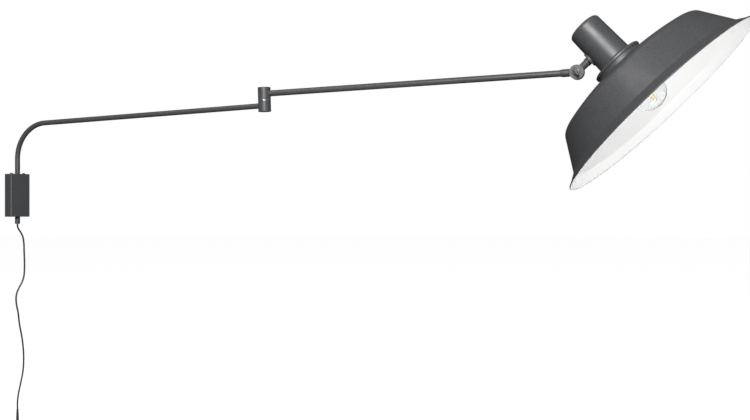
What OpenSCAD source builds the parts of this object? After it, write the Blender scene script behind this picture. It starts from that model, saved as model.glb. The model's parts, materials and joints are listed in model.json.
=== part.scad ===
// Swing arm wall lamp: wall box, bent lower arm, elbow, outer arm, tilting lamp head, mains cord.
// Millimetres, +Z up. Origin: centre of the wall box's back face, on the wall plane y = 0.
// The lamp stands out from the wall towards -Y.

/* [Wall box] */
// Width of the wall box
box_w = 40; // [36:1:60]
// Depth of the wall box, from the wall to its front
box_d = 20; // [19:1:32]
// Height of the wall box
box_h = 78; // [70:1:120]
// Sheet thickness of the box cover
cover_t = 1.5; // [1:0.1:2.5]
// Outer radius of the cover's two upright edges
cover_corner_r = 3; // [2:0.5:5]
// Thickness of the bracket's back plate
bracket_t = 2; // [1.5:0.1:3]
// Thickness of the bracket's two flanges
flange_t = 2.5; // [2:0.1:3.5]
// Thickness of the end plates
end_t = 2.5; // [2:0.1:4]
// Distance between the two screws in each end plate
plate_screw_spacing = 25; // [23:1:28]
// Distance between the two wall slots
wall_slot_spacing = 50; // [40:1:54]
// Width of a wall slot
wall_slot_w = 4.4; // [3.5:0.1:6]
// End-to-end length of a wall slot
wall_slot_l = 8; // [7:0.5:12]

/* [Arms] */
// Outer diameter of the bent lower tube
lower_tube_d = 9; // [8:0.5:10]
// Outer diameter of the outer tube
outer_tube_d = 10; // [8:0.5:11]
// Wall of both tubes
tube_wall = 1; // [0.8:0.1:1.2]
// Length of tube below the wall box
stub_drop = 12.4; // [8:0.2:30]
// Radius of the lower tube's bend, to its centre line
bend_r = 63.5; // [45:0.5:80]
// Height of the lower arm above the box's centre, at the swivel axis
lower_arm_z = 128.3; // [125:0.1:200]
// Length of the lower arm, swivel axis to elbow axis
lower_arm_l = 515; // [300:5:800]
// Length of the outer arm, elbow axis to knuckle axis
outer_arm_l = 515; // [300:5:800]
// Rise of both arms above level, in degrees
arm_rise = 1.93; // [0:0.01:5]

/* [Elbow] */
// Diameter of the elbow barrels
elbow_d = 21; // [20:0.5:30]
// Height of the lower barrel below the lower arm's centre line
elbow_below = 10; // [9:0.5:14]
// Height of the lower barrel above the lower arm's centre line
elbow_above = 7.7; // [6:0.1:12]
// Thickness of the washer between the barrels
elbow_washer_t = 1.3; // [1:0.1:3]
// Height of the upper barrel
elbow_upper_h = 21; // [21:0.5:30]
// Diameter of the hollow elbow pivot
pivot_d = 10; // [9:0.5:11]

/* [Knuckle] */
// Diameter of the knuckle's discs
knuckle_d = 22.5; // [20:0.5:28]
// Thickness of each half of the knuckle
knuckle_half_t = 5.2; // [4.5:0.1:6]
// Diameter of the ferrule and of the neck on the knuckle
ferrule_d = 12.1; // [12:0.1:14]
// Distance from the knuckle axis to the lamp axis
lamp_offset = 54; // [53.5:0.5:70]
// Diameter of the knuckle bolt
bolt_d = 5; // [4:0.5:6]

/* [Lamp head] */
// Radius of the cap at its closed end
cap_top_r = 26.4; // [26:0.1:32]
// Radius of the cap at its open end
cap_base_r = 28; // [27:0.1:32]
// Height of the cap's closed end above the link
cap_above = 44.8; // [36:0.2:60]
// Depth of the cap's open end below the link
cap_below = 25.8; // [22:0.2:36]
// Radius of the stepped collar
collar_r = 41.5; // [38:0.1:50]
// Height of the stepped collar
collar_h = 16.1; // [13:0.1:20]
// Sheet thickness of the shade
shade_t = 1; // [0.8:0.1:2]
// Sphere radius of the shade's dome
dome_r = 470; // [390:2:600]
// Radius at the shoulder, where the dome and the skirt would meet
shoulder_r = 132.2; // [110:0.2:145]
// Radius at the bottom of the skirt
skirt_r = 162.6; // [155:0.2:190]
// Radius of the shade's rim
rim_r = 180.4; // [172:0.2:215]
// Depth from the collar to the bottom of the skirt
skirt_depth = 70.3; // [58:0.1:100]
// Depth of the outward lip
lip_depth = 12.1; // [10:0.1:16]
// Greatest diameter of the bulb
bulb_d = 60; // [50:1:70]

/* [Cord] */
// Diameter of the mains cord
cord_d = 3; // [2.6:0.1:3.6]
// Mean radius of the tied coil
coil_r = 16.5; // [15:0.5:20]

/* [Hidden] */
$fn = 64;

BLACK = "#2e2e30";
DARK = "#48484a";
STEEL = "#b9b9b6";
BRASS = "#c8a456";
NYLON = "#e4e2da";
CABLE = "#1d1d1e";

run_gap = 0.05;          // radial gap of a running fit
fit_gap = 0.1;           // gap between pieces that slip together
air_gap = 0.3;           // gap between pieces of different bodies
seam_step = 0.02;        // how much slimmer a bend is than the straights that lap over it
seam_lap = 0.6;

// Rest pose: how the joints stand
swivel_rest = 17.4;      // lower arm, from straight out, about +Z
elbow_rest = 6;          // outer arm, from the lower arm's line
tilt_rest = 41.2;        // lamp, from square under the outer arm

pipe_y = -box_d / 2;
lower_tube_r = lower_tube_d / 2;
lower_bore_r = lower_tube_r - tube_wall;
outer_tube_r = outer_tube_d / 2;
outer_bore_r = outer_tube_r - tube_wall;
end_z = box_h / 2 - end_t;               // inner face of an end plate
lip_t = 1.5;                             // cover's inturned lip, clamped under the end plate
flange_z = end_z - lip_t - flange_t;     // inner face of a bracket flange
bush_r = lower_tube_r + 1.5;
lip_w = box_d / 2 - cover_t - bush_r - 0.5;      // lip's reach, clear of the bushes
bush_flange_t = 1.5;
bush_flange_r = bush_r + 1.5;
plate_screw_d = 3;
plate_screw_head_r = 2.8;
plate_screw_head_h = 2.2;
plate_screw_l = 8;
flat_head_h = 1.5;                       // countersunk heads under the box
collar_z = -flange_z + bush_flange_t;    // underside of the stop collar
stop_collar_r = lower_tube_r + 3;
stop_collar_h = 7;
set_screw_d = 4;
stub_z = -box_h / 2 - stub_drop;
gland_t = 8;
gland_face_t = 0.6;                      // part of the gland below the tube's end

elbow_r = elbow_d / 2;
elbow_floor = 2;                         // closed bottom of the lower barrel
washer_z = elbow_above;
upper_z0 = washer_z + elbow_washer_t;
upper_z1 = upper_z0 + elbow_upper_h;
outer_arm_z = upper_z0 + elbow_upper_h / 2;      // outer arm's centre line above the lower arm's
pivot_r = pivot_d / 2;
pivot_head_r = pivot_r + 2.5;
pivot_head_t = 2.2;
spring_washer_t = 0.8;
cable_r = 1.9;                           // two-core cable inside the tubes
// Length of barrel that turns on the pivot: the pivot's head stays under the outer arm's cable
pivot_run = elbow_upper_h / 2 - cable_r - air_gap - pivot_head_t - spring_washer_t;
elbow_cap_t = 1.8;
chamber_r = pivot_head_r + air_gap;
pivot_head_z = upper_z0 + pivot_run + spring_washer_t;
window_r = 2.6;                          // cable holes in the elbow and the knuckle

ferrule_l = 13.7;
ferrule_taper = 4;
ferrule_floor = 2;
knuckle_r = knuckle_d / 2;
ferrule_end = knuckle_r + air_gap;       // from the knuckle axis to the ferrule's outer end
neck_r = ferrule_d / 2 - 0.3;
groove_r = 8;                            // cable groove round the bolt, in both halves
groove_depth = 2.4;
knuckle_washer_t = 0.4;
half_gap = knuckle_washer_t / 2;
half_face = half_gap + knuckle_half_t;   // outer face of a knuckle half
bolt_head_r = 4.6;
bolt_head_h = 3;
bolt_tip = 4.5;                          // thread that stands out of the nut
nut_r = 4.8;
nut_h = 4;
nut_flange_r = nut_r + 1.6;
wing_w = 15;
wing_h = 10.5;
wing_t = 2;
wing_rest = 29;                          // how far round the nut stands
neck_end = 19.4;
link_collar_l = 5.6;
link_r = 4;                              // hollow threaded link, M8
link_bore_r = 2.6;
link_socket = 6;
rosette_r = 11.5;
nipple_r = 5;                            // lampholder's nipple, M10
nipple_bore_r = 3.4;

cap_t = 1.2;
cap_round = 6.5;
function cap_radius(z) = cap_top_r + (cap_base_r - cap_top_r) * (cap_above - z) / (cap_above + cap_below);
cap_side_r = cap_radius(0);
collar_t = 1.5;                          // sheet of the hollow collar
collar_slope_h = 3.5;                    // drop of its sloping top
collar_round = 2;
collar_lip_h = 7.5;                      // depth of its wide upper step
collar_step = 1.5;                       // how far its lower band stands back
shade_top_z = -cap_below - collar_h;     // top face of the shade's crown
shoulder_fillet = 16;
lip_fillet = 7;
rim_bead_r = 1.3;

holder_r = 19.5;
holder_top_z = 0;
holder_mouth_z = shade_top_z - 5.3;
bulb_seat = 29.6;                        // from the lampholder's mouth to the bulb's centre contact
holder_neck_r = 15;
shade_hole_r = holder_r + air_gap;
shade_ring_r = holder_r + 7;
shade_ring_h = 3;
strap_w = 14;                            // holder bracket
strap_t = 2;
strap_z = 10;                            // underside of its foot
strap_drop = 11;                         // leg below the link
strap_leg_y = sqrt(pow(cap_radius(strap_z + strap_t) - cap_t, 2) - strap_w * strap_w / 4) - fit_gap;
link_nut_r = 7.5;
link_nut_h = 3.5;
link_inner_y = strap_leg_y - strap_t - link_nut_h - 1;   // link's end, from the lamp axis
cable_bend_r = 8;
cable_up_y = link_inner_y - cable_bend_r;
nipple_nut_r = 8;
nipple_nut_h = 3.5;
nipple_grip = 8;                         // nipple's thread in the lampholder
nipple_top_z = strap_z + strap_t + nipple_nut_h + 1;
shell_r = 13.3;
shell_t = 0.5;
shell_len = 23;
contact_t = 1;
base_r = 13.1;                           // E27 screw base
base_len = 27;
base_pitch = 3.6;
base_threads = 5;
base_crest = 0.55;
base_top_z = holder_mouth_z + bulb_seat; // bulb's centre contact
glass_top_z = base_top_z - base_len;
bulb_r = bulb_d / 2;
globe_z = glass_top_z - 49;              // centre of the bulb's globe
glass_t = 1;
neck_glass_r = 13.3;
globe_join_a = 35;                       // where the bulb's neck runs into its globe
stem_r = 5;
stem_rod_r = 1.2;
stem_end_z = globe_z - 21;
filament_r = 1;
filament_l = 34;
filament_count = 4;
filament_lean = 12;

// Cord route parallel to the wall: sideways from the swivel axis, height
ROUTE_UPPER = [[0, -52], [0, -56], [1.8, -61], [6.2, -67], [9.8, -73], [12.4, -82], [13.7, -103],
    [14.4, -134], [13.3, -147], [9.8, -158], [3, -169], [-2, -180], [-3, -191], [-1.5, -202],
    [1, -213], [4, -235], [8.6, -257], [11.7, -279], [12.7, -300], [11.2, -322], [6.3, -344],
    [1.2, -366], [-0.2, -380], [0, -390]];
CORD_SIDES = 8;
CORD_STEP = 8;           // longest distance between rings of the swept tube
cord_r = cord_d / 2;
relief_l = 25;           // switch's upper strain relief
switch_l = 55;
switch_w = 15;
switch_t = 11;
switch_boot_l = 6;
switch_z1 = -390 - relief_l;
switch_z0 = switch_z1 - switch_l;
rocker_l = 14;
rocker_w = 8;
rocker_tilt = 7;
rocker_slot = 4.2;
rocker_pin_r = 0.9;
rocker_pin_depth = 1.6;                  // pin's axis behind the switch's front
rocker_pin_l = rocker_w + 2;
coil_rows = 4;
coil_layers = 3;
coil_half_w = coil_rows * cord_d / 2;
coil_half_h = coil_layers * cord_d / 2;
coil_out_r = coil_r + coil_half_h;
coil_z = switch_z0 - coil_out_r - 9;
coil_x = coil_out_r + cord_r;
tie_h = 8;
tie_t = 0.8;
tail_z = coil_z - coil_out_r - 14;
plug_l = 40;
plug_w = 26;
plug_t = 13.6;
plug_neck_r = 4.2;
plug_pin_r = 2;
plug_pin_l = 19;
plug_pin_spacing = 18.6;

// ---------- shared shapes and functions ----------

// Points of an arc about c, from angle a0 to a1
function arc(c, r, a0, a1, n) = [for (i = [0 : n]) let (a = a0 + (a1 - a0) * i / n)
    [c[0] + r * cos(a), c[1] + r * sin(a)]];

// Points that round the corner b of the path a-b-c with radius r
function rounded(a, b, c, r, n) =
    let (u = (a - b) / norm(a - b), v = (c - b) / norm(c - b),
         half = acos(u * v) / 2, m = (u + v) / norm(u + v),
         centre = b + m * r / sin(half),
         p = b + u * r / tan(half) - centre, q = b + v * r / tan(half) - centre,
         ap = atan2(p[1], p[0]), aq = atan2(q[1], q[0]),
         turn = ((aq - ap + 540) % 360) - 180)
    [for (i = [0 : n]) let (t = ap + turn * i / n) centre + r * [cos(t), sin(t)]];

module ring(r_out, r_in, h) {
    rotate_extrude() translate([r_in, 0]) square([r_out - r_in, h]);
}

// Pan-head screw, head up, seat at z = 0, with a cross recess
module pan_screw(d, head_r, head_h, l) {
    difference() {
        union() {
            translate([0, 0, -l]) cylinder(d = d, h = l + 0.5);
            rotate_extrude() intersection() {
                translate([0, head_h - head_r * 1.25]) circle(r = head_r * 1.25);
                square([head_r, head_h]);
            }
        }
        for (a = [0, 90]) rotate([0, 0, a])
            translate([-head_r * 0.6, -0.4, head_h - 1]) cube([head_r * 1.2, 0.8, 2]);
    }
}

// Countersunk head's cone, face at z = 0, carried on up to over
module flat_head(shank_r, head_r, over) {
    rotate_extrude() polygon([[0, -flat_head_h], [shank_r, -flat_head_h], [head_r, 0], [head_r, over],
        [0, over]]);
}

// Countersunk screw, head up and flush with z = 0, with a cross recess
module flat_screw(d, head_r, l) {
    difference() {
        union() {
            translate([0, 0, -l]) cylinder(d = d, h = l - flat_head_h + 0.5);
            flat_head(d / 2, head_r, 0);
        }
        for (a = [0, 90]) rotate([0, 0, a])
            translate([-head_r * 0.6, -0.4, -0.8]) cube([head_r * 1.2, 0.8, 2]);
    }
}

function unit(v) = v / norm(v);
function tangent(p, i) = unit(p[min(i + 1, len(p) - 1)] - p[max(i - 1, 0)]);

// Tube swept along points [x, z] in an upright plane, closed at both ends
module swept_tube(p, r, sides) {
    n = len(p);
    rings = [for (i = [0 : n - 1]) let (t = tangent(p, i)) for (k = [0 : sides - 1])
        let (a = 360 * k / sides) [p[i][0] + r * cos(a) * t[1], r * sin(a), p[i][1] - r * cos(a) * t[0]]];
    polyhedron(points = rings, faces = concat(
        [[for (k = [0 : sides - 1]) k]],
        [[for (k = [sides - 1 : -1 : 0]) (n - 1) * sides + k]],
        [for (i = [0 : n - 2]) for (k = [0 : sides - 1]) let (a = i * sides + k,
            b = i * sides + (k + 1) % sides) [a, a + sides, b + sides, b]]));
}

// Smooth curve through the route's points (Catmull-Rom), a point every CORD_STEP at most
function spline_point(a, b, c, d, t) = 0.5 * (2 * b + (c - a) * t + (2 * a - 5 * b + 4 * c - d) * t * t
    + (3 * b - a - 3 * c + d) * t * t * t);
function smooth(q) = concat([for (i = [0 : len(q) - 2])
    let (a = q[max(i - 1, 0)], d = q[min(i + 2, len(q) - 1)],
         steps = max(1, round(norm(q[i + 1] - q[i]) / CORD_STEP)))
    for (s = [0 : steps - 1]) spline_point(a, q[i], q[i + 1], d, s / steps)], [q[len(q) - 1]]);

// ---------- frames of the moving bodies at rest ----------

module at_pivot() { translate([0, pipe_y, 0]) rotate([0, 0, swivel_rest]) children(); }

module at_elbow() {
    at_pivot()
        translate([0, -lower_arm_l * cos(arm_rise), lower_arm_z + lower_arm_l * sin(arm_rise)])
        rotate([-arm_rise, 0, 0]) children();
}

module at_outer_arm() { at_elbow() rotate([0, 0, elbow_rest]) translate([0, 0, outer_arm_z]) children(); }

module at_knuckle() { at_outer_arm() translate([0, -outer_arm_l, 0]) children(); }

// Lamp frame: hinge along X, link towards -Y, lamp points along -Z
module at_lamp() { at_knuckle() rotate([-tilt_rest, 0, 0]) children(); }

module at_lamp_axis() { at_lamp() translate([0, -lamp_offset, 0]) children(); }

// ---------- wall box ----------

module bracket_flange() {
    difference() {
        translate([-box_w / 2 + cover_t + 1, -box_d + cover_t + 1.5, 0])
            cube([box_w - 2 * cover_t - 2, box_d - cover_t - 1.5, flange_t]);
        translate([0, pipe_y, -1]) cylinder(r = bush_r + run_gap, h = flange_t + 2);
        for (s = [-1, 1]) translate([s * plate_screw_spacing / 2, pipe_y, -1])
            cylinder(d = plate_screw_d, h = flange_t + 2);
    }
}

module wall_slot() {
    reach = (wall_slot_l - wall_slot_w) / 2;
    rotate([90, 0, 0]) {
        for (s = [-1, 1]) translate([0, s * reach, -1]) cylinder(d = wall_slot_w, h = bracket_t + 2);
        translate([-wall_slot_w / 2, -reach, -1]) cube([wall_slot_w, 2 * reach, bracket_t + 2]);
    }
}

module wall_bracket() {
    color(STEEL) {
        difference() {
            translate([-box_w / 2 + cover_t + fit_gap, -bracket_t, -end_z + lip_t])
                cube([box_w - 2 * cover_t - 2 * fit_gap, bracket_t, 2 * (end_z - lip_t)]);
            for (s = [-1, 1]) translate([0, 0, s * wall_slot_spacing / 2]) wall_slot();
        }
        translate([0, 0, flange_z]) bracket_flange();
        translate([0, 0, -flange_z - flange_t]) bracket_flange();
    }
}

// Outline of the cover seen from above, open at the wall
module cover_outline(inset) {
    r = max(cover_corner_r - inset, 0.5);
    w = box_w - 2 * inset;
    d = box_d - inset;
    union() {
        translate([-w / 2, -d + r]) square([w, d - r]);
        translate([-w / 2 + r, -d]) square([w - 2 * r, d]);
        for (s = [-1, 1]) translate([s * (w / 2 - r), -d + r]) circle(r = r);
    }
}

module box_cover() {
    color(DARK) {
        translate([0, 0, -box_h / 2]) linear_extrude(box_h) difference() {
            cover_outline(0);
            cover_outline(cover_t);
        }
        for (z = [end_z - lip_t, -end_z]) translate([0, 0, z]) linear_extrude(lip_t) difference() {
            cover_outline(cover_t / 2);
            cover_outline(cover_t + lip_w);
        }
    }
}

module end_plate() {
    linear_extrude(end_t) difference() {
        cover_outline(cover_t + fit_gap);
        translate([0, pipe_y]) circle(r = bush_r + run_gap);
        for (s = [-1, 1]) translate([s * plate_screw_spacing / 2, pipe_y])
            circle(r = plate_screw_d / 2 + 0.2);
    }
}

module end_plate_upper() { color(DARK) translate([0, 0, end_z]) end_plate(); }

// Screws stand out of the upper plate and lie flush in the lower one
module end_plate_lower() {
    color(DARK) difference() {
        translate([0, 0, -end_z - end_t]) end_plate();
        for (s = [-1, 1]) translate([s * plate_screw_spacing / 2, pipe_y, -box_h / 2]) mirror([0, 0, 1])
            flat_head(plate_screw_d / 2 + fit_gap, plate_screw_head_r + fit_gap, 1);
    }
}

// Flanged nylon bush, flange towards the box's inside
module swivel_bush() {
    ring(bush_flange_r, lower_tube_r + run_gap, bush_flange_t);
    translate([0, 0, bush_flange_t]) ring(bush_r, lower_tube_r + run_gap, box_h / 2 - flange_z);
}

module swivel_bush_upper() {
    color(NYLON) translate([0, pipe_y, flange_z - bush_flange_t]) swivel_bush();
}

module swivel_bush_lower() {
    color(NYLON) translate([0, pipe_y, -flange_z + bush_flange_t]) mirror([0, 0, 1]) swivel_bush();
}

module end_plate_screws() {
    color(DARK) for (s = [-1, 1]) translate([s * plate_screw_spacing / 2, pipe_y, 0]) {
        translate([0, 0, box_h / 2])
            pan_screw(plate_screw_d, plate_screw_head_r, plate_screw_head_h, plate_screw_l);
        translate([0, 0, -box_h / 2]) mirror([0, 0, 1])
            flat_screw(plate_screw_d, plate_screw_head_r, plate_screw_l);
    }
}

// ---------- lower arm ----------

module disc_outline(r_out, r_in) {
    difference() {
        circle(r = r_out);
        circle(r = r_in);
    }
}

// Lower arm's run as a bar: upright leg from z0, bend, and arm out to reach from the swivel axis.
// The legs lap over a bend that is slimmer by seam_step, so that their seams are clean.
module lower_arm_bar(r, z0, reach) {
    turn = 90 - arm_rise;
    tangent_l = bend_r * tan(turn / 2);
    bend_z = lower_arm_z - tangent_l;
    translate([0, -bend_r, bend_z]) rotate([90, 0, 90]) {
        rotate_extrude(angle = turn) translate([bend_r, 0]) circle(r = r - seam_step);
        translate([bend_r, seam_lap, 0]) rotate([90, 0, 0]) cylinder(r = r, h = bend_z - z0 + seam_lap);
        rotate([0, 0, turn]) translate([bend_r, -seam_lap, 0]) rotate([-90, 0, 0])
            cylinder(r = r, h = reach - tangent_l + seam_lap);
    }
}

// Barrel's outer cylinder at the elbow, seen from the swivel's frame
module barrel_space() {
    translate([0, -lower_arm_l * cos(arm_rise), lower_arm_z + lower_arm_l * sin(arm_rise)])
        rotate([-arm_rise, 0, 0]) translate([0, 0, -2 * elbow_d]) cylinder(r = elbow_r, h = 4 * elbow_d);
}

module lower_arm_tube() {
    color(DARK) at_pivot() difference() {
        lower_arm_bar(lower_tube_r, stub_z, lower_arm_l - elbow_r / 2);
        lower_arm_bar(lower_bore_r, stub_z - 1, lower_arm_l);
        barrel_space();
    }
}

module stop_collar() {
    color(STEEL) at_pivot() translate([0, 0, collar_z]) difference() {
        ring(stop_collar_r, lower_tube_r, stop_collar_h);
        translate([0, 0, stop_collar_h / 2]) rotate([90, 0, 0])
            cylinder(d = set_screw_d, h = stop_collar_r + 1);
    }
}

module stop_collar_screw() {
    screw_l = stop_collar_r - lower_tube_r - air_gap;
    color(BLACK) at_pivot() translate([0, -lower_tube_r, collar_z + stop_collar_h / 2])
        rotate([90, 0, 0]) difference() {
            cylinder(d = set_screw_d, h = screw_l);
            translate([0, 0, screw_l / 2]) cylinder(d = set_screw_d / 2, h = screw_l, $fn = 6);
        }
}

// Rubber gland in the end of the tube; the cord starts at its lower face
module cord_gland() {
    color(BLACK) at_pivot() difference() {
        union() {
            translate([0, 0, stub_z]) cylinder(r = lower_bore_r, h = gland_t);
            translate([0, 0, stub_z - gland_face_t]) cylinder(r = lower_tube_r - 0.4, h = gland_face_t);
        }
        translate([0, 0, stub_z + 1]) cylinder(r = cable_r, h = gland_t);
    }
}

module elbow_barrel_lower() {
    color(DARK) at_elbow() difference() {
        translate([0, 0, -elbow_below]) cylinder(r = elbow_r, h = elbow_below + elbow_above);
        translate([0, 0, -elbow_below + elbow_floor]) cylinder(r = pivot_r, h = elbow_below + elbow_above);
        rotate([-90, 0, 0]) cylinder(r = window_r, h = elbow_r + 1);
    }
}

// Hollow rivet: the cable enters it from the side and leaves at the top
module elbow_pivot() {
    foot_z = -elbow_below + elbow_floor;
    color(STEEL) at_elbow() difference() {
        union() {
            translate([0, 0, foot_z]) cylinder(r = pivot_r, h = pivot_head_z - foot_z);
            translate([0, 0, pivot_head_z]) cylinder(r = pivot_head_r, h = pivot_head_t);
        }
        translate([0, 0, -window_r]) cylinder(r = window_r, h = window_r + pivot_head_z + pivot_head_t + 1);
        rotate([-90, 0, 0]) cylinder(r = window_r, h = pivot_r + 1);
    }
}

module elbow_washer() {
    color(STEEL) at_elbow() translate([0, 0, washer_z]) ring(elbow_r, pivot_r, elbow_washer_t);
}

// Cable from the gland to the elbow, where it turns up through the pivot
module cable_lower_arm() {
    color(NYLON) {
        at_pivot() lower_arm_bar(cable_r, stub_z + 1, lower_arm_l);
        at_elbow() translate([0, 0, -cable_r - seam_lap / 2])
            cylinder(r = cable_r + seam_step, h = cable_r + seam_lap / 2 + pivot_head_z);
    }
}

// ---------- outer arm ----------

module elbow_barrel_upper() {
    color(DARK) at_outer_arm() translate([0, 0, upper_z0 - outer_arm_z]) difference() {
        cylinder(r = elbow_r, h = elbow_upper_h);
        translate([0, 0, -1]) cylinder(r = pivot_r + run_gap, h = pivot_run + 2);
        translate([0, 0, pivot_run]) cylinder(r = chamber_r, h = elbow_upper_h);
        translate([0, 0, outer_arm_z - upper_z0]) rotate([90, 0, 0])
            cylinder(r = window_r, h = elbow_r + 1);
    }
}

module elbow_spring_washer() {
    color(STEEL) at_elbow() translate([0, 0, upper_z0 + pivot_run])
        ring(pivot_head_r, pivot_r + run_gap, spring_washer_t);
}

module elbow_cap() {
    color(DARK) at_elbow() translate([0, 0, upper_z1 - elbow_cap_t])
        cylinder(r = chamber_r, h = elbow_cap_t);
}

module outer_arm_tube() {
    color(DARK) at_outer_arm() difference() {
        rotate([90, 0, 0]) linear_extrude(outer_arm_l - ferrule_end - ferrule_floor)
            disc_outline(outer_tube_r, outer_bore_r);
        translate([0, 0, -elbow_d]) cylinder(r = elbow_r, h = 2 * elbow_d);
    }
}

// Turned sleeve over the tube's end
module arm_ferrule() {
    color(DARK) at_knuckle() rotate([-90, 0, 0]) difference() {
        translate([0, 0, ferrule_end]) rotate_extrude() polygon([[0, 0], [ferrule_d / 2, 0],
            [ferrule_d / 2, ferrule_l - ferrule_taper], [outer_tube_r + 0.4, ferrule_l], [0, ferrule_l]]);
        translate([0, 0, ferrule_end + ferrule_floor]) cylinder(r = outer_tube_r, h = ferrule_l);
        cylinder(r = window_r, h = ferrule_end + ferrule_l);
    }
}

// Half of the knuckle, on the +X side of the hinge plane, with a neck out to reach along -Y
module knuckle_half(reach) {
    clear_y = knuckle_r + air_gap;
    difference() {
        union() {
            translate([half_gap, 0, 0]) rotate([0, 90, 0]) cylinder(r = knuckle_r, h = knuckle_half_t);
            difference() {
                rotate([90, 0, 0]) cylinder(r = neck_r, h = reach);
                translate([-2 * neck_r, -clear_y, -neck_r - 1])
                    cube([2 * neck_r + half_gap, clear_y + 1, 2 * neck_r + 2]);
                translate([half_face, -knuckle_r, -neck_r - 1])
                    cube([neck_r, knuckle_r + 1, 2 * neck_r + 2]);
            }
        }
        translate([-1, 0, 0]) rotate([0, 90, 0]) cylinder(r = bolt_d / 2 + run_gap, h = half_face + 2);
        translate([half_gap - 1, 0, 0]) rotate([0, 90, 0])
            ring(groove_r, bolt_d / 2 + 1.2, groove_depth + 1);
        translate([0, -groove_r + 1, 0]) rotate([90, 0, 0]) cylinder(r = window_r, h = reach);
    }
}

module knuckle_arm_half() { color(DARK) at_knuckle() mirror([0, 1, 0]) knuckle_half(ferrule_end); }

module knuckle_bolt() {
    color(DARK) at_knuckle() rotate([0, 90, 0]) {
        translate([0, 0, half_face]) cylinder(r = bolt_head_r, h = bolt_head_h, $fn = 6);
        translate([0, 0, -half_face - nut_h - bolt_tip])
            cylinder(d = bolt_d, h = 2 * half_face + nut_h + bolt_tip + 0.5);
    }
}

module knuckle_washer() {
    color(STEEL) at_knuckle() translate([run_gap - half_gap, 0, 0]) rotate([0, 90, 0])
        ring(knuckle_r - 0.5, groove_r, knuckle_washer_t - run_gap);
}

module cable_outer_arm() {
    start = chamber_r - cable_r - 1;
    color(NYLON) at_outer_arm() translate([0, -start, 0]) rotate([90, 0, 0])
        cylinder(r = cable_r, h = outer_arm_l - start - ferrule_end - 1);
}

// Clamp nut with one flat thumb blade that stands out along the bolt
module wing_nut() {
    color(DARK) at_knuckle() translate([-half_face, 0, 0]) rotate([0, -90, 0]) difference() {
        union() {
            cylinder(r = nut_flange_r, h = 1);
            cylinder(r = nut_r, h = nut_h);
            rotate([0, 0, wing_rest]) translate([-wing_w / 2, -wing_t / 2, nut_h - 1])
                cube([wing_w, wing_t, wing_h]);
        }
        translate([0, 0, -1]) cylinder(r = bolt_d / 2 + run_gap, h = nut_h + bolt_tip + 2);
    }
}

// ---------- lamp head ----------

module knuckle_lamp_half() {
    color(DARK) at_lamp() difference() {
        mirror([1, 0, 0]) knuckle_half(neck_end);
        translate([0, -neck_end + link_socket, 0]) rotate([90, 0, 0])
            cylinder(r = link_r, h = link_socket + 1);
    }
}

module link_collar() {
    color(DARK) at_lamp() translate([0, -neck_end, 0]) rotate([90, 0, 0])
        ring(ferrule_d / 2 + 0.4, link_r, link_collar_l);
}

// Hollow threaded link from the neck into the cap
module link_nipple() {
    start = neck_end - link_socket;
    color(STEEL) at_lamp() translate([0, -start, 0]) rotate([90, 0, 0])
        ring(link_r, link_bore_r, lamp_offset - link_inner_y - start);
}

// Saddle boss that seats the link on the cap's side
module link_rosette() {
    seat = neck_end + link_collar_l;
    color(DARK) at_lamp() difference() {
        translate([0, -seat, 0]) rotate([90, 0, 0])
            cylinder(r = rosette_r, h = lamp_offset - cap_side_r - seat + 4);
        rotate([90, 0, 0]) cylinder(r = link_r, h = lamp_offset);
        translate([0, -lamp_offset, 0]) rotate_extrude() polygon(cap_outline(0));
    }
}

module link_nut() {
    color(STEEL) at_lamp_axis() translate([0, strap_leg_y - strap_t, 0]) rotate([90, 0, 0]) difference() {
        cylinder(r = link_nut_r, h = link_nut_h, $fn = 6);
        translate([0, 0, -1]) cylinder(r = link_r, h = link_nut_h + 2);
    }
}

// Angle bracket: upright leg held by the link nut, foot over the lampholder
module holder_bracket() {
    color(STEEL) at_lamp_axis() {
        difference() {
            translate([-strap_w / 2, strap_leg_y - strap_t, -strap_drop])
                cube([strap_w, strap_t, strap_drop + strap_z + strap_t]);
            translate([0, strap_leg_y + 1, 0]) rotate([90, 0, 0]) cylinder(r = link_r, h = strap_t + 2);
        }
        difference() {
            translate([-strap_w / 2, -nipple_nut_r - 1, strap_z])
                cube([strap_w, strap_leg_y - strap_t + nipple_nut_r + 1, strap_t]);
            translate([0, 0, strap_z - 1]) cylinder(r = nipple_r, h = strap_t + 2);
            translate([0, cable_up_y, strap_z - 1]) cylinder(r = window_r, h = strap_t + 2);
        }
    }
}

// Half outline of the cap, shrunk by inset and open a little further down when it is the inside
function cap_outline(inset) = let (low = -cap_below - (inset > 0 ? 1 : 0))
    concat([[0, low], [cap_base_r - inset, low]],
        rounded([cap_base_r - inset, -cap_below], [cap_top_r - inset, cap_above - inset],
            [0, cap_above - inset], cap_round - inset, 12), [[0, cap_above - inset]]);

module lamp_cap() {
    color(DARK) at_lamp_axis() difference() {
        rotate_extrude() polygon(cap_outline(0));
        rotate_extrude() polygon(cap_outline(cap_t));
        rotate([-90, 0, 0]) cylinder(r = link_r, h = cap_base_r + 1);
    }
}

// Hollow stepped collar between the cap and the shade: sloping top, wide round step, narrower band
module shade_collar() {
    band_r = collar_r - collar_step;
    outer = concat([[shade_hole_r, 0], [cap_base_r + 0.4, 0]],
        rounded([cap_base_r + 0.4, 0], [collar_r, -collar_slope_h], [collar_r, -collar_lip_h],
            collar_round, 6),
        [[collar_r, -collar_lip_h], [band_r, -collar_lip_h - 0.8], [band_r, -collar_h]]);
    inner = [[band_r - collar_t, -collar_h], [band_r - collar_t, -collar_slope_h - 2 * collar_t],
        [cap_base_r, -collar_t], [shade_hole_r, -collar_t]];
    color(DARK) at_lamp_axis() translate([0, 0, -cap_below]) rotate_extrude() polygon(concat(outer, inner));
}

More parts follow.
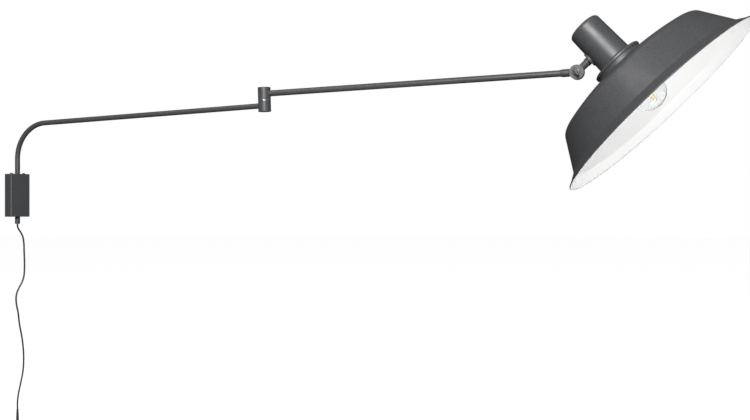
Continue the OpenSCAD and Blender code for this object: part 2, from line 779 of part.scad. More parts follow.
// Shade's outer line from the hole to the rim: flat crown, dome, shoulder, skirt, lip
function sphere_drop(r) = dome_r - sqrt(dome_r * dome_r - r * r);
function dome_y(r) = sphere_drop(collar_r) - sphere_drop(r);
shoulder = [shoulder_r, dome_y(shoulder_r)];
skirt = [skirt_r, -skirt_depth];
rim = [rim_r, -skirt_depth - lip_depth];
dome_end_r = shoulder_r - 12;
before_shoulder = [dome_end_r, dome_y(dome_end_r)];
shade_line = concat([[shade_hole_r, 0]],
    [for (i = [0 : 10]) let (r = collar_r + (dome_end_r - collar_r) * i / 10) [r, dome_y(r)]],
    rounded(before_shoulder, shoulder, skirt, shoulder_fillet, 8),
    rounded(shoulder, skirt, rim, lip_fillet, 5), [rim]);
// Rolled bead round the edge of the lip
rim_dir = unit(rim - skirt);
rim_a = atan2(rim_dir[1], rim_dir[0]);
rim_bead = rim + shade_t / 2 * [rim_dir[1], -rim_dir[0]] + rim_bead_r / sqrt(2) * rim_dir;
function inward(p, i) = let (t = tangent(p, i)) [t[1], -t[0]];
function offset_line(p, d) = [for (i = [0 : len(p) - 1]) p[i] + d * inward(p, i)];

module shade() {
    inner = offset_line(shade_line, shade_t);
    color(BLACK) at_lamp_axis() translate([0, 0, shade_top_z]) rotate_extrude()
        polygon(concat(shade_line, arc(rim_bead, rim_bead_r, rim_a + 135, rim_a - 135, 10),
            [for (i = [len(inner) - 1 : -1 : 0]) inner[i]]));
}

// Ring on the lampholder's thread that clamps the shade and the collar against the cap
module shade_ring() {
    color(BLACK) at_lamp_axis() translate([0, 0, shade_top_z - shade_t - shade_ring_h])
        ring(shade_ring_r, holder_r, shade_ring_h);
}

// ---------- lampholder and bulb ----------

module holder_body() {
    color(BLACK) at_lamp_axis() difference() {
        rotate_extrude() polygon([[0, holder_mouth_z], [holder_r, holder_mouth_z],
            [holder_r, holder_top_z - 18], [holder_neck_r, holder_top_z - 11],
            [holder_neck_r, holder_top_z - 5], [nipple_r + 3, holder_top_z], [0, holder_top_z]]);
        translate([0, 0, holder_mouth_z - 1])
            cylinder(r = shell_r + shell_t, h = base_top_z + contact_t - holder_mouth_z + 1);
        translate([0, 0, holder_top_z - nipple_grip]) cylinder(r = nipple_r, h = nipple_grip + 1);
        translate([0, 0, base_top_z]) cylinder(r = window_r, h = holder_top_z - base_top_z);
    }
}

module holder_nipple() {
    foot_z = holder_top_z - nipple_grip;
    color(STEEL) at_lamp_axis() {
        translate([0, 0, foot_z]) ring(nipple_r, nipple_bore_r, nipple_top_z - foot_z);
        translate([0, 0, strap_z + strap_t]) difference() {
            cylinder(r = nipple_nut_r, h = nipple_nut_h, $fn = 6);
            translate([0, 0, -1]) cylinder(r = nipple_r - 0.5, h = nipple_nut_h + 2);
        }
        translate([0, 0, holder_top_z]) ring(nipple_r + 2, nipple_r - 0.5, strap_z - holder_top_z);
    }
}

module holder_shell() {
    color(BRASS) at_lamp_axis() translate([0, 0, glass_top_z + air_gap])
        ring(shell_r + shell_t, shell_r, shell_len);
}

// Centre contact: a spring strip on the lampholder's floor
module holder_contact() {
    color(BRASS) at_lamp_axis() translate([-3, -9, base_top_z]) cube([6, 18, contact_t]);
}

// Screw base with rounded threads and a solder pip
module bulb_base() {
    root_r = base_r - base_crest;
    color(STEEL) at_lamp_axis() translate([0, 0, glass_top_z]) rotate_extrude() polygon(concat(
        [[0, 0], [root_r, 0], [root_r, 2]],
        [for (i = [0 : base_threads - 1]) for (k = [0 : 5])
            [base_r - base_crest / 2 * (1 + cos(60 * k)), 2.4 + base_pitch * (i + k / 6)]],
        [[root_r, 2.4 + base_pitch * base_threads], [root_r, base_len - 5], [6, base_len - 2],
         [4.5, base_len - 1.6], [3, base_len], [0, base_len]]));
}

function bezier(a, b, c, d, t) = a * pow(1 - t, 3) + b * 3 * t * pow(1 - t, 2) + c * 3 * t * t * (1 - t)
    + d * pow(t, 3);

// Bulb outline from the neck to the tip, shrunk by inset
function bulb_line(inset) =
    let (r = bulb_r - inset, neck = [neck_glass_r - inset, glass_top_z], low = neck - [0, 6],
         join = [r * cos(globe_join_a), globe_z + r * sin(globe_join_a)],
         back = [-sin(globe_join_a), cos(globe_join_a)])
    concat([neck], [for (i = [0 : 5]) bezier(low, low - [0, 10], join + 9 * back, join, i / 6)],
        arc([0, globe_z], r, globe_join_a, -90, 16));

module bulb_glass() {
    outer = bulb_line(0);
    inner = bulb_line(glass_t);
    color([0.9, 0.95, 1, 0.35]) at_lamp_axis() rotate_extrude()
        polygon(concat(outer, [for (i = [len(inner) - 1 : -1 : 0]) [max(inner[i][0], 0), inner[i][1]]]));
}

module bulb_stem() {
    flare_r = neck_glass_r - glass_t - 0.2;
    color([0.9, 0.95, 1, 0.5]) at_lamp_axis() rotate_extrude() polygon([[0, stem_end_z],
        [stem_rod_r, stem_end_z], [stem_rod_r, globe_z + 20], [2.5, globe_z + 24],
        [stem_r, glass_top_z - 8], [flare_r, glass_top_z - 2], [flare_r, glass_top_z], [0, glass_top_z]]);
}

// Light sticks that lean out from the foot of the stem's rod
module bulb_filaments() {
    color("#e8c34a") at_lamp_axis() for (i = [0 : filament_count - 1])
        rotate([0, 0, 45 + 360 * i / filament_count])
        translate([stem_rod_r + filament_r + fit_gap, 0, stem_end_z + 1]) rotate([0, filament_lean, 0])
        cylinder(r = filament_r, h = filament_l);
}

// Quarter or half bend of the cable in the YZ plane
module cable_bend(r_bend, from, turn) {
    rotate([90, 0, 90]) rotate([0, 0, from]) rotate_extrude(angle = turn) translate([r_bend, 0])
        circle(r = cable_r - fit_gap);
}

// Cable from the neck through the link, up beside the lampholder and down its nipple
module cable_head() {
    start_y = lamp_offset - knuckle_r - 1;
    over_r = cable_up_y / 2;
    over_z = nipple_top_z + 1;
    foot_z = base_top_z + contact_t;
    color(NYLON) at_lamp_axis() {
        translate([0, start_y, 0]) rotate([90, 0, 0])
            cylinder(r = cable_r, h = start_y - link_inner_y + seam_lap);
        translate([0, link_inner_y, cable_bend_r]) cable_bend(cable_bend_r, 180, 90);
        translate([0, cable_up_y, cable_bend_r - seam_lap])
            cylinder(r = cable_r, h = over_z - cable_bend_r + 2 * seam_lap);
        translate([0, over_r, over_z]) cable_bend(over_r, 0, 180);
        translate([0, 0, foot_z]) cylinder(r = cable_r, h = over_z - foot_z + seam_lap);
    }
}

// ---------- cord, switch and plug ----------

module cord_upper() {
    color(CABLE) translate([0, pipe_y, 0]) swept_tube(smooth(ROUTE_UPPER), cord_r, CORD_SIDES);
}

module cord_lower() {
    color(CABLE) translate([0, pipe_y, coil_z]) cylinder(r = cord_r, h = switch_z0 - coil_z);
}

// Coil in an upright plane, its side turn against the hanging cord
module cord_coil() {
    color(CABLE) translate([coil_x, pipe_y, coil_z]) rotate([90, 0, 0]) rotate_extrude()
        translate([coil_r, 0]) square([2 * coil_half_h, 2 * coil_half_w], center = true);
}

module cord_tail() {
    color(CABLE) translate([0, pipe_y, tail_z]) cylinder(r = cord_r, h = coil_z - tail_z);
}

module coil_tie() {
    inner_r = coil_r - coil_half_h;
    reach = coil_x - sqrt(inner_r * inner_r - tie_h * tie_h / 4) + cord_r + 2 * fit_gap;
    half_w = coil_half_w + fit_gap;
    color("#3a3a3c") translate([-cord_r - fit_gap, pipe_y, coil_z - tie_h / 2]) difference() {
        translate([-tie_t, -half_w - tie_t, 0]) cube([reach + 2 * tie_t, 2 * (half_w + tie_t), tie_h]);
        translate([0, -half_w, -1]) cube([reach, 2 * half_w, tie_h + 2]);
    }
}

module switch_body() {
    color(BLACK) translate([0, pipe_y, switch_z0]) difference() {
        union() {
            translate([-switch_w / 2, -switch_t / 2, switch_boot_l])
                cube([switch_w, switch_t, switch_l - 2 * switch_boot_l]);
            for (m = [0, 1]) translate([0, 0, m * switch_l]) mirror([0, 0, m])
                cylinder(r1 = 2.7, r2 = 5, h = switch_boot_l);
            translate([0, 0, switch_l]) cylinder(r1 = 2.7, r2 = cord_r + 0.4, h = relief_l);
        }
        translate([-rocker_w / 2 - air_gap, -switch_t / 2 - 1, (switch_l - rocker_l) / 2 - air_gap])
            cube([rocker_w + 2 * air_gap, 1 + rocker_slot, rocker_l + 2 * air_gap]);
        translate([0, rocker_pin_depth - switch_t / 2, switch_l / 2]) rotate([0, 90, 0])
            cylinder(r = rocker_pin_r + run_gap, h = rocker_pin_l + 2 * fit_gap, center = true);
    }
}

// Rocker on a cross pin, its two faces sloping away from the middle
module switch_rocker() {
    color(DARK) translate([0, pipe_y - switch_t / 2 + rocker_pin_depth, switch_z0 + switch_l / 2])
        rotate([rocker_tilt, 0, 0]) {
            rotate([0, 90, 0]) cylinder(r = rocker_pin_r, h = rocker_pin_l, center = true);
            translate([-rocker_w / 2, -rocker_pin_depth, 0]) rotate([90, 0, 90]) linear_extrude(rocker_w)
                polygon([[2.6, -rocker_l / 2 + 0.8], [-1.6, -rocker_l / 2 + 0.4], [-0.6, 0],
                    [-1.6, rocker_l / 2 - 0.4], [2.6, rocker_l / 2 - 0.8], [3, 0]]);
        }
}

module plug_body() {
    taper_z = 20;
    neck_z = plug_l - 8;
    color(BLACK) translate([0, pipe_y, tail_z - plug_l]) {
        translate([-plug_w / 2, -plug_t / 2, 0]) cube([plug_w, plug_t, taper_z]);
        hull() {
            translate([-plug_w / 2, -plug_t / 2, taper_z]) cube([plug_w, plug_t, 0.1]);
            translate([0, 0, neck_z]) cylinder(r = plug_neck_r, h = 0.1, $fn = 32);
        }
        translate([0, 0, neck_z]) cylinder(r1 = plug_neck_r, r2 = cord_r + 0.5, h = plug_l - neck_z);
    }
}

module plug_pins() {
    tip_h = 1;
    color(STEEL) for (s = [-1, 1])
        translate([s * plug_pin_spacing / 2, pipe_y, tail_z - plug_l - plug_pin_l]) {
            translate([0, 0, tip_h]) cylinder(r = plug_pin_r, h = plug_pin_l - tip_h);
            cylinder(r1 = plug_pin_r - 0.8, r2 = plug_pin_r, h = tip_h);
        }
}

wall_bracket();
box_cover();
end_plate_upper();
end_plate_lower();
swivel_bush_upper();
swivel_bush_lower();
end_plate_screws();
lower_arm_tube();
stop_collar();
stop_collar_screw();
cord_gland();
elbow_barrel_lower();
elbow_pivot();
elbow_washer();
cable_lower_arm();
elbow_barrel_upper();
elbow_spring_washer();
elbow_cap();
outer_arm_tube();
arm_ferrule();
knuckle_arm_half();
knuckle_bolt();
knuckle_washer();
cable_outer_arm();
wing_nut();
knuckle_lamp_half();
link_collar();
link_nipple();
link_rosette();
link_nut();
holder_bracket();
lamp_cap();
shade_collar();
shade();
shade_ring();
holder_body();
holder_nipple();
holder_shell();
holder_contact();
bulb_base();
bulb_glass();
bulb_stem();
bulb_filaments();
cable_head();
cord_upper();
cord_lower();
cord_coil();
cord_tail();
coil_tie();
switch_body();
switch_rocker();
plug_body();
plug_pins();
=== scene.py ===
"""Swing arm wall lamp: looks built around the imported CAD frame. Metres, +Z up, wall plane y = 0."""
import json
import math

import bmesh
import bpy
from mathutils import Matrix, Vector


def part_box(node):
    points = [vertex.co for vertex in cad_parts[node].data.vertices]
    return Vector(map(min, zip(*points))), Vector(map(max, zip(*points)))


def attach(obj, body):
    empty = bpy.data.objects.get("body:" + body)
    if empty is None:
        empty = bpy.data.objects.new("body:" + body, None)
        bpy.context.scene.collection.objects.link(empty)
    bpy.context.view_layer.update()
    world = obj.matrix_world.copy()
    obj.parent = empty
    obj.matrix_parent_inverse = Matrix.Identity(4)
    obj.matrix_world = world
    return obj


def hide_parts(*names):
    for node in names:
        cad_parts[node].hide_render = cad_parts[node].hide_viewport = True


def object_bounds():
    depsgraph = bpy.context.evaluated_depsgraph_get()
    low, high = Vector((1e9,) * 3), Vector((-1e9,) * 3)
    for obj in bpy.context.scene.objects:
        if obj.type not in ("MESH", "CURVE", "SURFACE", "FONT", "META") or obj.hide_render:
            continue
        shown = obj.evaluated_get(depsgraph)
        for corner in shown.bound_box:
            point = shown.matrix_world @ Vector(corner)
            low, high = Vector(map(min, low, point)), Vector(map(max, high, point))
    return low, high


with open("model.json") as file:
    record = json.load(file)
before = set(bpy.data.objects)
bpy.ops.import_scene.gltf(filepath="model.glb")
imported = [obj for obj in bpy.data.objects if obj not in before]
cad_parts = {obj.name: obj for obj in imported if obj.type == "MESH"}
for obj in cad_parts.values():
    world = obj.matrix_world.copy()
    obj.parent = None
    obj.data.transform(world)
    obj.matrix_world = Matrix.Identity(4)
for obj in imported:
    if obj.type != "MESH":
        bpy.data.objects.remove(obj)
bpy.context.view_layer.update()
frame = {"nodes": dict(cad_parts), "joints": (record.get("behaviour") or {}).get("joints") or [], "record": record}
scene = bpy.context.scene
nodes = frame["nodes"]
joints = {joint["name"]: joint for joint in frame["joints"]}
MM = 0.001

# Rest pose and lamp sizes, as in the part's source (degrees, millimetres)
SWIVEL_REST, ELBOW_REST, ARM_RISE, TILT_REST = 17.4, 6.0, 1.93, 41.2
LAMP_OFFSET = 54.0
SHADE_TOP_Z = -41.9
SHADE_HOLE_R, SHADE_T, COLLAR_R = 19.8, 1.0, 41.5
DOME_R, SHOULDER_R, SKIRT_R, RIM_R = 470.0, 132.2, 162.6, 180.4
SKIRT_DEPTH, LIP_DEPTH = 70.3, 12.1
SHOULDER_FILLET, LIP_FILLET, RIM_BEAD_R = 16.0, 7.0, 1.3
OUTER_TUBE_R, ELBOW_R = 5.0, 10.5
LOWER_BARREL_ABOVE, WASHER_T, UPPER_BARREL_H = 7.7, 1.3, 21.0
CORD_D = 3.0


# ---------- frames ----------

def turn(axis, degrees):
    return Matrix.Rotation(math.radians(degrees), 4, axis)


def shift(x, y, z):
    """Translation in millimetres."""
    return Matrix.Translation((x * MM, y * MM, z * MM))


def joint_place(name):
    return Matrix.Translation(joints[name]["pos_m"])


ARM_TURN = turn("Z", SWIVEL_REST) @ turn("X", -ARM_RISE)
at_elbow = joint_place("elbow_swing") @ ARM_TURN
at_knuckle = joint_place("head_tilt") @ ARM_TURN @ turn("Z", ELBOW_REST)
at_lamp = at_knuckle @ turn("X", -TILT_REST)
at_lamp_axis = at_lamp @ shift(0, -LAMP_OFFSET, 0)


# ---------- camera ----------

def add_camera():
    data = bpy.data.cameras.new("camera")
    data.sensor_width = 36.0
    data.lens = 57.6
    data.clip_end = 60.0
    camera = bpy.data.objects.new("camera", data)
    camera.location = (-1.2114, -1.9478, -0.0267)
    camera.rotation_euler = (math.radians(90), 0, math.radians(-48.6))
    scene.collection.objects.link(camera)
    scene.camera = camera


add_camera()


# ---------- materials ----------

def new_material(name):
    material = bpy.data.materials.new(name)
    material.use_nodes = True
    return material, material.node_tree.nodes, material.node_tree.links


def ramp_node(tree_nodes, low, high):
    """Ramp over the middle of a noise texture, which seldom leaves 0.3 to 0.7."""
    ramp = tree_nodes.new("ShaderNodeValToRGB")
    ramp.color_ramp.elements[0].position = 0.3
    ramp.color_ramp.elements[1].position = 0.7
    ramp.color_ramp.elements[0].color = (*low, 1)
    ramp.color_ramp.elements[1].color = (*high, 1)
    return ramp


ROUGHNESS_VARIES = 0.06
BROAD_GRAIN = 25          # how much coarser the roughness varies than the colour does


def grained(name, color, roughness, grain=900, bump=0.2, depth=0.00015, vary=0.12, metallic=0.0,
            coat=0.0):
    """Painted, moulded or metal surface: colour, roughness and height all vary with a fine grain."""
    material, tree, links = new_material(name)
    shader = tree["Principled BSDF"]
    shader.inputs["Metallic"].default_value = metallic
    shader.inputs["Coat Weight"].default_value = coat
    place = tree.new("ShaderNodeTexCoord")
    fine = tree.new("ShaderNodeTexNoise")
    fine.inputs["Scale"].default_value = grain
    fine.inputs["Detail"].default_value = 3
    broad = tree.new("ShaderNodeTexNoise")
    broad.inputs["Scale"].default_value = grain / BROAD_GRAIN
    tint = ramp_node(tree, [c * (1 - vary) for c in color], [c * (1 + vary) for c in color])
    rough = ramp_node(tree, [roughness - ROUGHNESS_VARIES] * 3, [roughness + ROUGHNESS_VARIES] * 3)
    height = tree.new("ShaderNodeBump")
    height.inputs["Strength"].default_value = bump
    height.inputs["Distance"].default_value = depth
    for noise in (fine, broad):
        links.new(place.outputs["Object"], noise.inputs["Vector"])
    links.new(fine.outputs["Fac"], tint.inputs["Fac"])
    links.new(broad.outputs["Fac"], rough.inputs["Fac"])
    links.new(fine.outputs["Fac"], height.inputs["Height"])
    links.new(tint.outputs["Color"], shader.inputs["Base Color"])
    links.new(rough.outputs["Color"], shader.inputs["Roughness"])
    links.new(height.outputs["Normal"], shader.inputs["Normal"])
    return material


def clear_glass(name):
    """Blown glass: a faint waviness in its roughness and height."""
    material, tree, links = new_material(name)
    shader = tree["Principled BSDF"]
    shader.inputs["Base Color"].default_value = (0.98, 0.99, 0.99, 1)
    shader.inputs["Transmission Weight"].default_value = 1.0
    shader.inputs["IOR"].default_value = 1.45
    place = tree.new("ShaderNodeTexCoord")
    streak = tree.new("ShaderNodeTexNoise")
    streak.inputs["Scale"].default_value = 9
    rough = ramp_node(tree, [0.0] * 3, [0.02] * 3)
    height = tree.new("ShaderNodeBump")
    height.inputs["Strength"].default_value = 0.006
    height.inputs["Distance"].default_value = 0.0002
    links.new(place.outputs["Object"], streak.inputs["Vector"])
    links.new(streak.outputs["Fac"], rough.inputs["Fac"])
    links.new(streak.outputs["Fac"], height.inputs["Height"])
    links.new(rough.outputs["Color"], shader.inputs["Roughness"])
    links.new(height.outputs["Normal"], shader.inputs["Normal"])
    return material


COAT = grained("powder_coat", (0.060, 0.061, 0.064), 0.40, grain=750, bump=0.3, depth=0.00012, vary=0.4)
WHITE = grained("white_enamel", (0.86, 0.86, 0.855), 0.38, grain=1500, bump=0.015, vary=0.015)
STEEL = grained("zinc_steel", (0.55, 0.55, 0.54), 0.34, grain=1200, vary=0.08, metallic=1.0)
WASHER = grained("elbow_washer_metal", (0.42, 0.42, 0.42), 0.4, grain=1200, vary=0.08, metallic=1.0)
BRASS = grained("brass", (0.72, 0.53, 0.24), 0.28, grain=1000, vary=0.08, metallic=1.0)
NYLON = grained("nylon", (0.78, 0.77, 0.72), 0.5, grain=800, bump=0.1, vary=0.03)
SHEATH = grained("wire_sheath", (0.74, 0.73, 0.69), 0.45, grain=700, bump=0.1, vary=0.03)
RUBBER = grained("black_rubber", (0.018, 0.018, 0.019), 0.62, grain=900, bump=0.2, vary=0.15)
CORD = grained("cord_sheath", (0.03, 0.03, 0.031), 0.42, grain=600, bump=0.12, vary=0.12)
PLASTIC = grained("black_plastic", (0.022, 0.022, 0.023), 0.48, grain=1300, bump=0.3, vary=0.12)
BAKELITE = grained("bakelite", (0.02, 0.019, 0.018), 0.22, grain=300, bump=0.04, vary=0.2, coat=0.3)
TIE = grained("tie_plastic", (0.035, 0.035, 0.036), 0.5, grain=800, bump=0.2)
GLASS = clear_glass("clear_glass")
STICK = grained("light_stick", (0.92, 0.7, 0.2), 0.5, grain=1200, bump=0.1, vary=0.08)

FINISH = {"dark_coat": COAT, "shade_coat": COAT, "plain_steel": STEEL, "nylon": NYLON,
          "wire_sheath": SHEATH, "black_rubber": RUBBER, "cord_sheath": CORD, "tie_plastic": TIE,
          "black_plastic": PLASTIC, "bakelite": BAKELITE, "brass": BRASS, "clear_glass": GLASS,
          "light_stick": STICK}
SLOT_OF = {row["node"]: row["material_slot"] for row in frame["record"]["subparts"]}
BODY_OF = {node: body for body, members in frame["record"]["behaviour"]["bodies"].items()
           for node in members}


# ---------- mesh helpers ----------

def smooth_by_angle(mesh, degrees=32):
    for face in mesh.polygons:
        face.use_smooth = True
    mesh.set_sharp_from_angle(angle=math.radians(degrees))


def add_object(name, mesh, body, slot, *materials):
    piece = bpy.data.objects.new(name, mesh)
    scene.collection.objects.link(piece)
    for material in materials:
        mesh.materials.append(material)
    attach(piece, body)
    return piece


def arc(center, radius, start, end, count):
    """Points of an arc in degrees, both ends included."""
    return [Vector((center[0] + radius * math.cos(math.radians(start + (end - start) * i / count)),
                    center[1] + radius * math.sin(math.radians(start + (end - start) * i / count))))
            for i in range(count + 1)]


def rounded(a, b, c, radius, count):
    """Points that round the corner b of the path a-b-c."""
    a, b, c = Vector(a), Vector(b), Vector(c)
    u, v = (a - b).normalized(), (c - b).normalized()
    half = math.acos(u.dot(v)) / 2
    center = b + (u + v).normalized() * radius / math.sin(half)
    p = b + u * radius / math.tan(half) - center
    q = b + v * radius / math.tan(half) - center
    start = math.degrees(math.atan2(p.y, p.x))
    sweep = (math.degrees(math.atan2(q.y, q.x)) - start + 540) % 360 - 180
    return arc(center, radius, start, start + sweep, count)


def turned_mesh(name, profile, matrix, segments, material_of):
    """Closed profile of (radius, height) points in millimetres, turned about the frame's Z axis.

    material_of gives the material index of the faces from profile point k to the next."""
    mesh = bmesh.new()
    rings = []
    for i in range(segments):
        a = 2 * math.pi * i / segments
        rings.append([mesh.verts.new((r * MM * math.cos(a), r * MM * math.sin(a), z * MM))
                      for r, z in profile])
    count = len(profile)
    for i in range(segments):
        here, after = rings[i], rings[(i + 1) % segments]
        for k in range(count):
            j = (k + 1) % count
            face = mesh.faces.new((here[k], after[k], after[j], here[j]))
            face.material_index = material_of(k)
    bmesh.ops.recalc_face_normals(mesh, faces=mesh.faces)
    mesh.transform(matrix)
    data = bpy.data.meshes.new(name)
    mesh.to_mesh(data)
    mesh.free()
    smooth_by_angle(data)
    return data


# ---------- cord ----------

# The cord's route beside the wall, as in the part's source: sideways and height, millimetres
ROUTE = [(0, -52), (0, -56), (1.8, -61), (6.2, -67), (9.8, -73), (12.4, -82), (13.7, -103),
         (14.4, -134), (13.3, -147), (9.8, -158), (3, -169), (-2, -180), (-3, -191), (-1.5, -202),
         (1, -213), (4, -235), (8.6, -257), (11.7, -279), (12.7, -300), (11.2, -322), (6.3, -344),
         (1.2, -366), (-0.2, -380), (0, -390), (0, -430), (0, -472)]
CORD_Y = -10.0
COIL_ROWS, COIL_LAYERS, COIL_MEAN_R, TURN_POINTS = 4, 3, 16.5, 20
CROSSOVER = 0.2           # share of a turn in which the cord steps to the next seat
SIDE_AT_ENDS = 0.4        # how far out of line the coil's two ends stay
TAIL_FORWARD, TAIL_DROP = 1, 3


def coil_points(center_x, center_z):
    """Turns wound in and out, row by row, from the hanging cord and back to it."""
    outer_r = COIL_MEAN_R + CORD_D * (COIL_LAYERS - 1) / 2
    turns = COIL_ROWS * COIL_LAYERS

    def seat(index):
        row, layer = divmod(index, COIL_LAYERS)
        if row % 2:
            layer = COIL_LAYERS - 1 - layer
        return outer_r - CORD_D * layer, CORD_D * (row - (COIL_ROWS - 1) / 2)

    points = []
    for i in range(turns * TURN_POINTS + 1):
        whole = min(i // TURN_POINTS, turns - 1)
        part = i / TURN_POINTS - whole
        radius, side = seat(whole)
        if whole + 1 < turns and part > 1 - CROSSOVER:
            blend = (part - 1 + CROSSOVER) / CROSSOVER
            next_radius, next_side = seat(whole + 1)
            radius += (next_radius - radius) * blend
            side += (next_side - side) * blend
        quarter = TURN_POINTS / 4
        ends = min(1, i / quarter, (turns * TURN_POINTS - i) / quarter)
        radius = center_x + (radius - center_x) * ends
        side *= SIDE_AT_ENDS + (1 - SIDE_AT_ENDS) * ends
        a = math.pi + 2 * math.pi * i / TURN_POINTS
        points.append((center_x + radius * math.cos(a), CORD_Y + side,
                       center_z + radius * math.sin(a)))
    return points


def build_cord():
    """One smooth curve: down the wall, through the switch, round the tied coil and into the plug."""
    coil_low, coil_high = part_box("cord_coil")
    center_x = (coil_low.x + coil_high.x) / 2 / MM
    center_z = (coil_low.z + coil_high.z) / 2 / MM
    plug_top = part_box("plug_body")[1].z / MM
    tail_middle = (center_z + plug_top) / 2
    points = [(x, CORD_Y, z) for x, z in ROUTE]
    points += coil_points(center_x, center_z)
    points += [(0, CORD_Y + TAIL_FORWARD, tail_middle - TAIL_DROP), (0, CORD_Y, plug_top)]
    curve = bpy.data.curves.new("mains_cord", "CURVE")
    curve.dimensions = "3D"
    curve.bevel_depth = CORD_D / 2 * MM
    curve.bevel_resolution = 4
    curve.resolution_u = 6
    curve.use_fill_caps = True
    spline = curve.splines.new("BEZIER")
    spline.bezier_points.add(len(points) - 1)
    for point, place in zip(spline.bezier_points, points):
        point.co = Vector(place) * MM
        point.handle_left_type = point.handle_right_type = "AUTO"
    curve.materials.append(CORD)
    cord = bpy.data.objects.new("mains_cord", curve)
    scene.collection.objects.link(cord)
    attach(cord, "wall_box")
    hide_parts("cord_upper", "cord_lower", "cord_coil", "cord_tail")
    return cord


cord = build_cord()


# ---------- shade ----------

DOME_END_INSET = 12       # where the drawn dome stops before the shoulder's fillet
DOME_POINTS, SHOULDER_POINTS, LIP_POINTS, BEAD_POINTS = 24, 14, 8, 16
BEAD_COAT_POINTS = 9      # the rolled edge is coated this far round, and enamelled after it
SHADE_SEGMENTS = 192


def sphere_drop(radius):
    return DOME_R - math.sqrt(DOME_R ** 2 - radius ** 2)


def dome_z(radius):
    return sphere_drop(COLLAR_R) - sphere_drop(radius)


def inward_line(line, distance):
    """The line moved square to itself, towards the inside of the shade."""
    moved = []
    for i, point in enumerate(line):
        along = (line[min(i + 1, len(line) - 1)] - line[max(i - 1, 0)]).normalized()
        moved.append(point + distance * Vector((along.y, -along.x)))
    return moved


def build_shade():
    """Spun shade as one closed profile: outside, rolled edge, white inside."""
    dome_end = SHOULDER_R - DOME_END_INSET
    shoulder = (SHOULDER_R, dome_z(SHOULDER_R))
    skirt = Vector((SKIRT_R, -SKIRT_DEPTH))
    rim = Vector((RIM_R, -SKIRT_DEPTH - LIP_DEPTH))
    line = [Vector((SHADE_HOLE_R, 0)), Vector((COLLAR_R - 1, 0))]
    line += [Vector((r, dome_z(r))) for r in
             (COLLAR_R + (dome_end - COLLAR_R) * i / DOME_POINTS for i in range(DOME_POINTS + 1))]
    line += rounded(line[-1], shoulder, skirt, SHOULDER_FILLET, SHOULDER_POINTS)
    line += rounded(shoulder, skirt, rim, LIP_FILLET, LIP_POINTS) + [rim]
    inner = inward_line(line, SHADE_T)
    along = (rim - skirt).normalized()
    middle = rim + SHADE_T / 2 * Vector((along.y, -along.x)) + RIM_BEAD_R / math.sqrt(2) * along
    angle = math.degrees(math.atan2(along.y, along.x))
    bead = arc(middle, RIM_BEAD_R, angle + 135, angle - 135, BEAD_POINTS)
    profile = line + bead + inner[::-1]
    white_from = len(line) + BEAD_COAT_POINTS
    mesh = turned_mesh("lamp_shade", profile, at_lamp_axis @ shift(0, 0, SHADE_TOP_Z),
                       SHADE_SEGMENTS, lambda k: 1 if white_from <= k < len(profile) - 1 else 0)
    shade = add_object("lamp_shade", mesh, "lamp_head", "shade_coat", COAT, WHITE)
    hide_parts("shade")


build_shade()


# ---------- CAD pieces with eased edges ----------

MERGE_WITHIN = 0.004      # millimetres
FLAT_WITHIN = 0.3         # degrees between faces that count as one
SHARP_FROM = 38           # degrees between faces whose edge is rounded


def ease_edges(node, width):
    """Copy of a CAD node with its sharp edges rounded by width millimetres."""
    mesh = bmesh.new()
    mesh.from_mesh(nodes[node].data)
    bmesh.ops.remove_doubles(mesh, verts=mesh.verts, dist=MERGE_WITHIN * MM)
    bmesh.ops.dissolve_limit(mesh, angle_limit=math.radians(FLAT_WITHIN), verts=mesh.verts,
                             edges=mesh.edges)
    data = bpy.data.meshes.new(node + "_eased")
    mesh.to_mesh(data)
    mesh.free()
    data.materials.clear()
    slot = SLOT_OF[node]
    piece = add_object(node + "_eased", data, BODY_OF[node], slot, FINISH[slot])
    bevel = piece.modifiers.new("ease", "BEVEL")
    bevel.width = width * MM
    bevel.segments = 3
    bevel.limit_method = "ANGLE"
    bevel.angle_limit = math.radians(SHARP_FROM)
    smooth_by_angle(data, SHARP_FROM)
    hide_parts(node)
    return piece


# How far each node's edges are rounded, in millimetres
EASED = {"box_cover": 0.4, "end_plate_upper": 0.3, "end_plate_lower": 0.3, "elbow_barrel_lower": 0.5,
         "elbow_barrel_upper": 0.5, "elbow_cap": 0.4, "elbow_washer": 0.25, "arm_ferrule": 0.35,
         "knuckle_arm_half": 0.4, "knuckle_lamp_half": 0.4, "link_collar": 0.5, "wing_nut": 0.45,
         "knuckle_bolt": 0.3, "shade_collar": 0.3, "switch_body": 0.8, "switch_rocker": 0.4,
         "plug_body": 0.8, "stop_collar": 0.4, "coil_tie": 0.2, "holder_bracket": 0.3,
         "shade_ring": 0.4}
for node, width in EASED.items():
    ease_edges(node, width)

for node, piece in nodes.items():
    piece.data.materials.clear()
    piece.data.materials.append(WASHER if node == "elbow_washer" else FINISH[SLOT_OF[node]])
    smooth_by_angle(piece.data)


# ---------- weld where the outer arm meets the elbow ----------

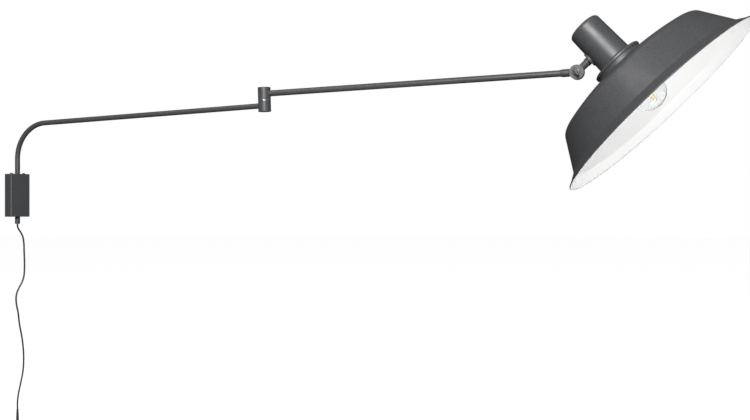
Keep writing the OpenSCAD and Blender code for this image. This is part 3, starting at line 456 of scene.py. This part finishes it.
def build_weld():
    """Low bead that follows the saddle between the outer tube and the upper barrel."""
    bead_r, waviness, waves = 0.7, 0.08, 9
    around, section = 64, 10
    arm_z = LOWER_BARREL_ABOVE + WASHER_T + UPPER_BARREL_H / 2
    mesh = bmesh.new()
    rings = []
    for i in range(around):
        a = 2 * math.pi * i / around
        x, z = OUTER_TUBE_R * math.cos(a), OUTER_TUBE_R * math.sin(a)
        y = -math.sqrt(ELBOW_R ** 2 - x * x)
        out = Vector((math.cos(a), 0, math.sin(a)))
        wave = 1 + waviness * math.sin(waves * a)
        ring = []
        for k in range(section):
            b = 2 * math.pi * k / section
            side = math.cos(b) * out + math.sin(b) * Vector((0, -1, 0))
            p = Vector((x, y, z)) + bead_r * wave * side
            ring.append(mesh.verts.new(p * MM))
        rings.append(ring)
    for i in range(around):
        here, after = rings[i], rings[(i + 1) % around]
        for k in range(section):
            j = (k + 1) % section
            mesh.faces.new((here[k], after[k], after[j], here[j]))
    bmesh.ops.recalc_face_normals(mesh, faces=mesh.faces)
    mesh.transform(at_elbow @ turn("Z", ELBOW_REST) @ shift(0, 0, arm_z))
    data = bpy.data.meshes.new("elbow_weld")
    mesh.to_mesh(data)
    mesh.free()
    smooth_by_angle(data, 60)
    add_object("elbow_weld", data, "outer_arm", "dark_coat", COAT)


build_weld()


# ---------- studio ----------

AMBIENT, FLOOR_GLOW = 0.09, 0.9
FLOOR_DROP, FLOOR_R = 0.02, 25
KEY_PLACE, KEY_TARGET, KEY_SIZE, KEY_POWER = (-2.1, -2.35, 1.35), (0.2, -0.55, 0.1), 1.6, 150
# From the lamp: a weak light whose reflection lies in the middle of the shade's near side
SHEEN_OFFSET, SHEEN_SIZE, SHEEN_POWER = Vector((-1.5, 1.1, 1.8)), 0.8, 9
# Along the shade's opening, a little towards its low side
FILL_DISTANCE, FILL_OFFSET = 0.85, Vector((-0.03, 0.1, -0.1))
FILL_SIZE, FILL_POWER, FILL_CONE = 0.15, 28, 50


def add_floor():
    """White floor under the hanging plug: plain, and bright enough to run into the backdrop."""
    mesh = bmesh.new()
    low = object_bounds()[0].z - FLOOR_DROP
    bmesh.ops.create_circle(mesh, cap_ends=True, radius=FLOOR_R, segments=96)
    mesh.transform(Matrix.Translation((0, 0, low)))
    data = bpy.data.meshes.new("floor")
    mesh.to_mesh(data)
    mesh.free()
    paint = grained("floor_paint", (0.93, 0.93, 0.93), 0.7, grain=20, bump=0, vary=0.005)
    shader = paint.node_tree.nodes["Principled BSDF"]
    shader.inputs["Emission Color"].default_value = (1, 1, 1, 1)
    shader.inputs["Emission Strength"].default_value = FLOOR_GLOW
    data.materials.append(paint)
    floor = bpy.data.objects.new("floor", data)
    floor.visible_diffuse = False
    floor.visible_glossy = False
    scene.collection.objects.link(floor)


def aim(light, place, target):
    light.location = place
    light.rotation_euler = (Vector(target) - Vector(place)).to_track_quat("-Z", "Y").to_euler()
    scene.collection.objects.link(light)


def add_area_light(name, place, target, size, power):
    data = bpy.data.lights.new(name, "AREA")
    data.shape = "DISK"
    data.size = size
    data.energy = power
    aim(bpy.data.objects.new(name, data), place, target)


def add_spot_light(name, place, target, size, power, cone):
    data = bpy.data.lights.new(name, "SPOT")
    data.shadow_soft_size = size
    data.energy = power
    data.spot_size = math.radians(cone)
    data.spot_blend = 0.5
    aim(bpy.data.objects.new(name, data), place, target)


def add_world():
    """White backdrop to the camera, dim to all other rays, so that round metal keeps dark edges."""
    world = bpy.data.worlds.new("studio")
    world.use_nodes = True
    tree = world.node_tree.nodes
    seen = tree.new("ShaderNodeLightPath")
    strength = tree.new("ShaderNodeMapRange")
    strength.inputs["To Min"].default_value = AMBIENT
    strength.inputs["To Max"].default_value = 1.0
    world.node_tree.links.new(seen.outputs["Is Camera Ray"], strength.inputs["Value"])
    tree["Background"].inputs["Color"].default_value = (1, 1, 1, 1)
    world.node_tree.links.new(strength.outputs["Result"], tree["Background"].inputs["Strength"])
    scene.world = world


def add_studio():
    add_floor()
    add_world()
    lamp = at_lamp_axis.translation
    opening = (at_lamp_axis.to_3x3() @ Vector((0, 0, -1))).normalized()
    add_area_light("key", KEY_PLACE, KEY_TARGET, KEY_SIZE, KEY_POWER)
    add_area_light("shade_sheen", lamp + SHEEN_OFFSET, lamp, SHEEN_SIZE, SHEEN_POWER)
    add_spot_light("shade_fill", lamp + FILL_DISTANCE * opening + FILL_OFFSET, lamp, FILL_SIZE,
                   FILL_POWER, FILL_CONE)
    scene.view_settings.view_transform = "Standard"


add_studio()
